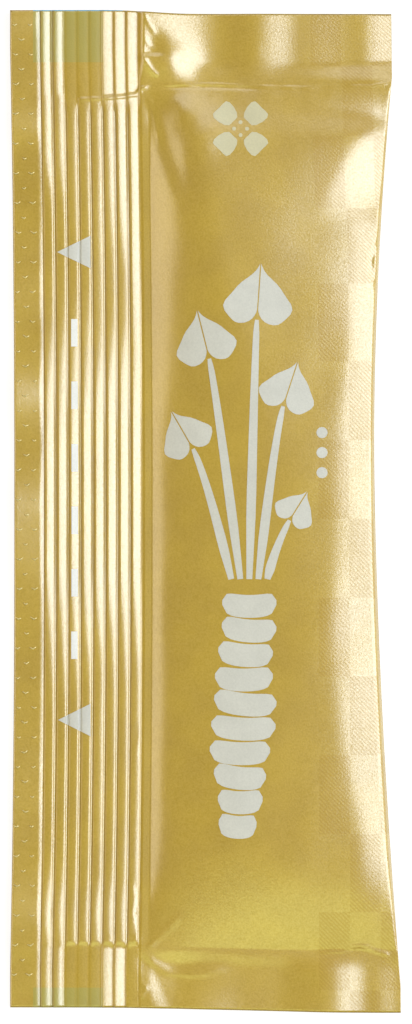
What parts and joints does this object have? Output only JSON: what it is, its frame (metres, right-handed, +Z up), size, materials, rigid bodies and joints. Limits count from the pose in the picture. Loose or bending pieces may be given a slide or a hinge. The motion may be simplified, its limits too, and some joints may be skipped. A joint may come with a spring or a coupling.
{
  "type": "single-serve condiment sachet of grated wasabi",
  "caption": "Slim gold foil condiment sachet, folded along one long edge and crimp-sealed along the other, with flat end seals, a row of tear marks and a plump chamber of green paste.",
  "frame": {"origin": "centre of the footprint, on the surface that the sachet lies on", "axes": "+X across the sachet towards the folded edge, +Y along it towards the top end, +Z up out of the printed front"},
  "size_m": [0.0312, 0.0802, 0.0032],
  "materials": {
    "gold_laminate": "satin gold ink over foil laminate",
    "white_ink": "matt gravure ink",
    "green_paste": "moist grated paste"
  },
  "bodies": {
    "root": {"film_sachet": "gold_laminate", "wasabi_paste": "green_paste"}
  },
  "joints": []
}
